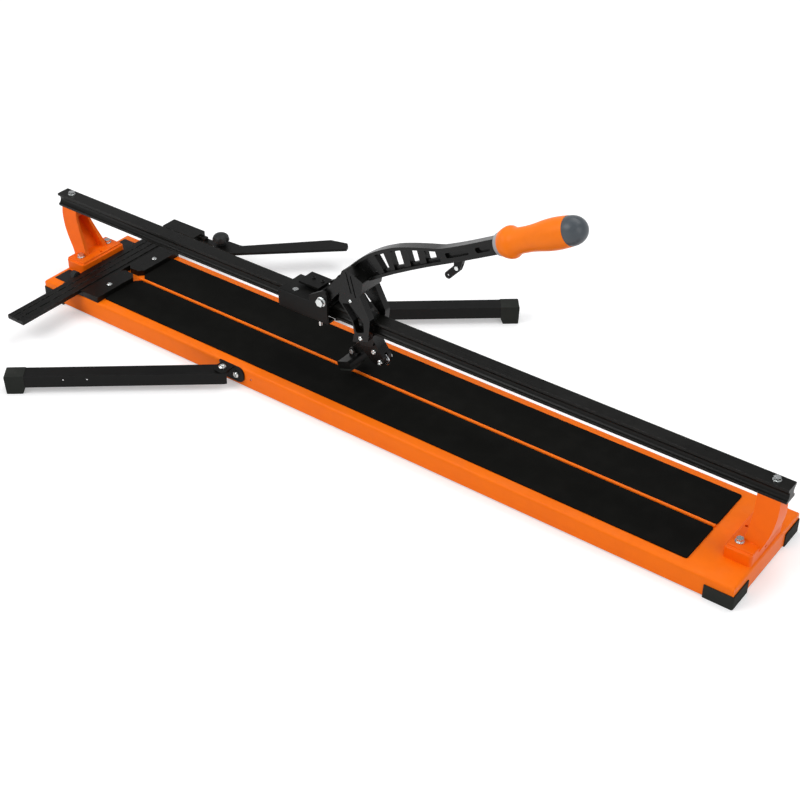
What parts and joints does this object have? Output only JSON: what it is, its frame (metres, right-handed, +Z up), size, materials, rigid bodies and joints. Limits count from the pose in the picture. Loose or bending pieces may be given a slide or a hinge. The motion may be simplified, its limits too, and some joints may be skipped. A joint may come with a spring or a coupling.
{
  "type": "manual rail tile cutter",
  "caption": "Long manual tile cutter: sheet-steel base with rubber mats, raised guide rail, sliding carriage with a lever, scoring wheel, breaker foot, ruler and swing-out supports.",
  "frame": {"origin": "on the floor, midway along the rail and on its centre line", "axes": "+X along the rail toward the end that the grip points to, +Y toward the side stop, +Z up"},
  "size_m": [1.441, 0.7176, 0.4542],
  "materials": {
    "orange_paint": "powder coat, satin",
    "orange_cast": "die cast, satin orange paint",
    "mat_rubber": "matte, smooth foam rubber",
    "foot_rubber": "matte moulded rubber",
    "black_rail": "black anodised, satin",
    "black_steel": "black powder coat, satin",
    "black_cast": "die cast, black satin paint",
    "zinc": "bright zinc plate",
    "spring_steel": "bright wire",
    "wheel_steel": "ground carbide",
    "label_film": "bare black film",
    "knob_plastic": "matte moulded",
    "collar_plastic": "satin grey",
    "grip_plastic": "soft-touch orange",
    "cap_plastic": "satin dark grey"
  },
  "bodies": {
    "base": {"base_tray": "orange_paint", "stiffener_channels": "orange_paint", "break_ridge": "orange_paint", "front_mat": "mat_rubber", "rear_mat": "mat_rubber", "corner_feet": "foot_rubber", "left_stand": "orange_cast", "right_stand": "orange_cast", "stand_bolts": "zinc", "stand_nuts": "zinc", "rail": "black_rail", "rail_screws": "zinc", "fence_front_plate": "black_rail", "fence_rear_plate": "black_rail", "fence_screws": "zinc", "ruler_guide": "black_rail", "label_plates": "label_film", "front_arm_bracket": "black_steel", "rear_arm_bracket": "black_steel", "bracket_screws": "zinc", "arm_pivot_bolts": "zinc"},
    "ruler": {"ruler_bar": "black_rail", "stop_block": "black_rail", "stop_pivot_stud": "zinc"},
    "ruler_clamp": {"ruler_knob": "knob_plastic"},
    "side_stop": {"stop_arm": "black_steel"},
    "side_stop_clamp": {"stop_knob": "knob_plastic"},
    "front_support": {"front_arm": "black_steel", "front_arm_foot": "foot_rubber"},
    "rear_support": {"rear_arm": "black_steel", "rear_arm_foot": "foot_rubber"},
    "carriage": {"carriage_body": "black_steel", "carriage_tab": "black_steel", "tab_screws": "black_steel", "pivot_bolt": "zinc", "pivot_nut": "zinc", "return_spring": "spring_steel", "roller_axles": "zinc"},
    "roller_fl": {"roller_front_left": "zinc"},
    "roller_fr": {"roller_front_right": "zinc"},
    "roller_rl": {"roller_rear_left": "zinc"},
    "roller_rr": {"roller_rear_right": "zinc"},
    "lever": {"lever_frame": "black_cast", "grip_collar": "collar_plastic", "grip": "grip_plastic", "grip_cap": "cap_plastic", "catch_lug": "black_steel", "catch_pin": "zinc", "wheel_holder": "black_cast", "holder_screws": "zinc", "wheel_axle": "zinc", "breaker_pin": "zinc"},
    "wheel": {"scoring_wheel": "wheel_steel"},
    "breaker": {"breaker_foot": "black_steel", "breaker_pads": "foot_rubber"},
    "catch": {"catch_link": "black_steel"}
  },
  "joints": [
    {"name": "carriage_slide", "type": "slide", "parent": "base", "child": "carriage", "axis": [1, 0, 0], "range_m": [-0.465, 0.62]},
    {"name": "roller_fl_spin", "type": "hinge", "parent": "carriage", "child": "roller_fl", "pos_m": [-0.1505, -0.0162, 0.1477], "axis": [0, 0, 1], "continuous": true},
    {"name": "roller_fr_spin", "type": "hinge", "parent": "carriage", "child": "roller_fr", "pos_m": [-0.0995, -0.0162, 0.1477], "axis": [0, 0, 1], "continuous": true},
    {"name": "roller_rl_spin", "type": "hinge", "parent": "carriage", "child": "roller_rl", "pos_m": [-0.1505, 0.0162, 0.1477], "axis": [0, 0, 1], "continuous": true},
    {"name": "roller_rr_spin", "type": "hinge", "parent": "carriage", "child": "roller_rr", "pos_m": [-0.0995, 0.0162, 0.1477], "axis": [0, 0, 1], "continuous": true},
    {"name": "handle_pivot", "type": "hinge", "parent": "carriage", "child": "lever", "pos_m": [-0.084, 0, 0.1725], "axis": [0, 1, 0], "range_deg": [0, 23.5], "stiffness_Nm_per_rad": 8, "springref_deg": -34.38},
    {"name": "wheel_spin", "type": "hinge", "parent": "lever", "child": "wheel", "pos_m": [0.0195, 0, 0.086], "axis": [0, 1, 0], "continuous": true},
    {"name": "breaker_pivot", "type": "hinge", "parent": "lever", "child": "breaker", "pos_m": [-0.0395, 0, 0.0835], "axis": [0, 1, 0], "range_deg": [-12, 12]},
    {"name": "catch_swing", "type": "hinge", "parent": "lever", "child": "catch", "pos_m": [0.159, 0, 0.3075], "axis": [0, 1, 0], "range_deg": [-100, 12]},
    {"name": "ruler_slide", "type": "slide", "parent": "base", "child": "ruler", "axis": [0, 1, 0], "range_m": [-0.035, 0.1]},
    {"name": "ruler_clamp_turn", "type": "hinge", "parent": "base", "child": "ruler_clamp", "pos_m": [-0.64, -0.07, 0.0447], "axis": [-1, 0, 0], "range_deg": [0, 360]},
    {"name": "side_stop_swivel", "type": "hinge", "parent": "ruler", "child": "side_stop", "pos_m": [-0.496, 0.1715, 0.044], "axis": [0, 0, -1], "range_deg": [-40, 95]},
    {"name": "side_stop_clamp_turn", "type": "hinge", "parent": "ruler", "child": "side_stop_clamp", "pos_m": [-0.496, 0.1715, 0.055], "axis": [0, 0, 1], "range_deg": [0, 360]},
    {"name": "front_support_swing", "type": "hinge", "parent": "base", "child": "front_support", "pos_m": [-0.227, -0.1225, 0.03], "axis": [0, 0, 1], "range_deg": [-38, 51]},
    {"name": "rear_support_swing", "type": "hinge", "parent": "base", "child": "rear_support", "pos_m": [-0.227, 0.1225, 0.03], "axis": [0, 0, 1], "range_deg": [-38, 51]}
  ],
  "couplings": [
    {"joint": "roller_fl_spin", "follows": "carriage_slide", "rad_per_m": 111.11},
    {"joint": "roller_fr_spin", "follows": "carriage_slide", "rad_per_m": 111.11},
    {"joint": "roller_rl_spin", "follows": "carriage_slide", "rad_per_m": -111.11},
    {"joint": "roller_rr_spin", "follows": "carriage_slide", "rad_per_m": -111.11}
  ]
}
